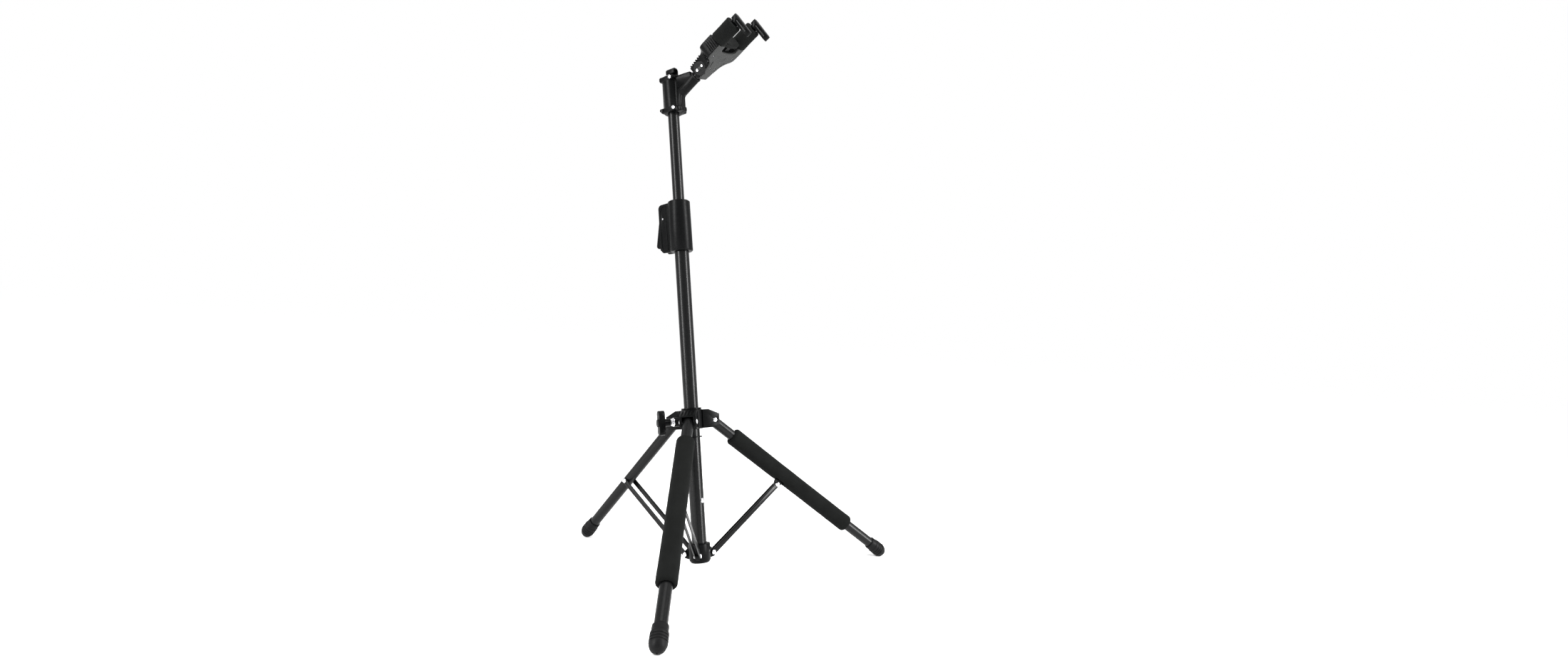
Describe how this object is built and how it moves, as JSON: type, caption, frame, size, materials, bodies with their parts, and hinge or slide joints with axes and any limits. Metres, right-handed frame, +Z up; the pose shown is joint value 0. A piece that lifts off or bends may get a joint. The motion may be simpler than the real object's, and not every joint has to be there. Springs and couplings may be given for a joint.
{
  "type": "guitar stand",
  "caption": "Folding tripod guitar stand: sliding hub with struts, squeeze height clutch, and a pull-out yoke whose fingers close when the saddle is pressed.",
  "frame": {"origin": "middle of the whole stand's box, on the floor", "axes": "+Z up, -Y to the front where the yoke points, +X to the stand's right seen from behind the yoke's open end; the mast leans back towards +Y"},
  "size_m": [0.647, 0.4764, 0.9471],
  "materials": {
    "powder_coat": "gloss black powder coat",
    "black_plastic": "fine-textured black",
    "grey_plastic": "dark grey satin",
    "foam": "black cellular foam",
    "rubber": "matte black",
    "chrome": "bright plated",
    "spring_steel": "plain"
  },
  "bodies": {
    "mast": {"lower_tube": "powder_coat", "mast_rivet": "chrome", "stop_ring": "black_plastic", "lower_collar": "black_plastic", "front_left_collar_pin": "chrome", "front_right_collar_pin": "chrome", "rear_collar_pin": "chrome", "clutch_housing": "black_plastic", "guide_bush": "black_plastic", "lever_pin": "chrome", "clutch_spring": "spring_steel"},
    "lever": {"clutch_lever": "black_plastic"},
    "lock": {"lock_plate": "spring_steel"},
    "shaft": {"upper_shaft": "powder_coat", "shaft_foot_bush": "black_plastic", "head_left_half": "black_plastic", "head_right_half": "black_plastic", "head_front_screw": "chrome", "head_rear_screw": "chrome", "top_hook": "black_plastic", "socket_ring": "rubber"},
    "stem": {"yoke_stem": "powder_coat"},
    "yoke": {"yoke_rear_shell": "black_plastic", "yoke_face_plate": "grey_plastic", "neck_barrel": "black_plastic", "saddle_spring": "spring_steel"},
    "saddle": {"saddle": "black_plastic", "saddle_pad": "foam"},
    "left_arm": {"left_arm": "black_plastic", "left_arm_foam": "foam", "left_finger": "black_plastic"},
    "right_arm": {"right_arm": "black_plastic", "right_arm_foam": "foam", "right_finger": "black_plastic"},
    "hub": {"hub": "black_plastic", "front_left_hub_pin": "chrome", "front_right_hub_pin": "chrome", "rear_hub_pin": "chrome", "clamp_nut": "chrome"},
    "knob": {"wing_knob": "black_plastic", "clamp_bolt": "chrome"},
    "front_left_leg": {"front_left_leg": "powder_coat", "front_left_boot": "rubber", "front_left_strut_pin": "chrome", "front_left_foam": "foam", "front_left_ear": "powder_coat"},
    "front_left_strut": {"front_left_strut_left": "powder_coat", "front_left_strut_right": "powder_coat"},
    "front_right_leg": {"front_right_leg": "powder_coat", "front_right_boot": "rubber", "front_right_strut_pin": "chrome", "front_right_foam": "foam", "front_right_ear": "powder_coat"},
    "front_right_strut": {"front_right_strut_left": "powder_coat", "front_right_strut_right": "powder_coat"},
    "rear_leg": {"rear_leg": "powder_coat", "rear_boot": "rubber", "rear_strut_pin": "chrome"},
    "rear_strut": {"rear_strut_left": "powder_coat", "rear_strut_right": "powder_coat"}
  },
  "joints": [
    {"name": "height_slide", "type": "slide", "parent": "mast", "child": "shaft", "axis": [0, 0.1718, 0.9851], "range_m": [-0.155, 0.17]},
    {"name": "lever_squeeze", "type": "hinge", "parent": "mast", "child": "lever", "pos_m": [0, 0.09025, 0.5943], "axis": [-1, 0, 0], "range_deg": [0, 12], "stiffness_Nm_per_rad": 0.8, "springref_deg": -17.19},
    {"name": "lock_tilt", "type": "hinge", "parent": "mast", "child": "lock", "pos_m": [0, 0.04504, 0.60979], "axis": [1, 0, 0], "range_deg": [0, 5], "deforming": ["clutch_spring"]},
    {"name": "yoke_pull", "type": "slide", "parent": "shaft", "child": "stem", "axis": [0, -0.7892, 0.6142], "range_m": [0, 0.05]},
    {"name": "yoke_turn", "type": "hinge", "parent": "stem", "child": "yoke", "pos_m": [0, 0.04125, 0.84868], "axis": [0, -0.7892, 0.6142], "range_deg": [-65, 25]},
    {"name": "left_arm_turn", "type": "hinge", "parent": "yoke", "child": "left_arm", "pos_m": [-0.03853, -0.02892, 0.88552], "axis": [0, -0.7892, 0.6142], "range_deg": [0, 90]},
    {"name": "right_arm_turn", "type": "hinge", "parent": "yoke", "child": "right_arm", "pos_m": [0.03853, -0.01169, 0.90765], "axis": [0, 0.7892, -0.6142], "range_deg": [0, 90]},
    {"name": "saddle_press", "type": "slide", "parent": "yoke", "child": "saddle", "axis": [0, 0.7892, -0.6142], "range_m": [0, 0.007], "stiffness_N_per_m": 150, "springref_m": -0.02, "deforming": ["saddle_spring"]},
    {"name": "hub_slide", "type": "slide", "parent": "mast", "child": "hub", "axis": [0, 0.1718, 0.9851], "range_m": [0, 0.10992]},
    {"name": "knob_turn", "type": "hinge", "parent": "hub", "child": "knob", "pos_m": [0, -0.00294, 0.24613], "axis": [-0.866, 0.4926, -0.0859], "range_deg": [0, 270]},
    {"name": "front_left_leg_fold", "type": "hinge", "parent": "hub", "child": "front_left_leg", "pos_m": [-0.03204, -0.02134, 0.24832], "axis": [0.5, -0.8532, 0.1488], "range_deg": [0, 47.3]},
    {"name": "front_left_strut_swing", "type": "hinge", "parent": "front_left_leg", "child": "front_left_strut", "pos_m": [-0.13286, -0.09986, 0.13686], "axis": [-0.5, 0.8532, -0.1488], "range_deg": [0, 99.15]},
    {"name": "front_right_leg_fold", "type": "hinge", "parent": "hub", "child": "front_right_leg", "pos_m": [0.03204, -0.02134, 0.24832], "axis": [0.5, 0.8532, -0.1488], "range_deg": [0, 47.3]},
    {"name": "front_right_strut_swing", "type": "hinge", "parent": "front_right_leg", "child": "front_right_strut", "pos_m": [0.13286, -0.09986, 0.13686], "axis": [-0.5, -0.8532, 0.1488], "range_deg": [0, 99.15]},
    {"name": "rear_leg_fold", "type": "hinge", "parent": "hub", "child": "rear_leg", "pos_m": [0, 0.03334, 0.23879], "axis": [-1, 0, 0], "range_deg": [0, 47.3]},
    {"name": "rear_strut_swing", "type": "hinge", "parent": "rear_leg", "child": "rear_strut", "pos_m": [0, 0.13252, 0.12229], "axis": [1, 0, 0], "range_deg": [0, 86.82]}
  ],
  "couplings": [
    {"joint": "lock_tilt", "follows": "lever_squeeze", "ratio": 0.41667},
    {"joint": "left_arm_turn", "follows": "saddle_press", "rad_per_m": 224.39},
    {"joint": "right_arm_turn", "follows": "saddle_press", "rad_per_m": 224.39},
    {"joint": "front_left_leg_fold", "follows": "hub_slide", "rad_per_m": 7.5102},
    {"joint": "front_left_strut_swing", "follows": "hub_slide", "rad_per_m": 15.743},
    {"joint": "front_right_leg_fold", "follows": "hub_slide", "rad_per_m": 7.5102},
    {"joint": "front_right_strut_swing", "follows": "hub_slide", "rad_per_m": 15.743},
    {"joint": "rear_leg_fold", "follows": "hub_slide", "rad_per_m": 7.5102},
    {"joint": "rear_strut_swing", "follows": "hub_slide", "rad_per_m": 13.785}
  ]
}
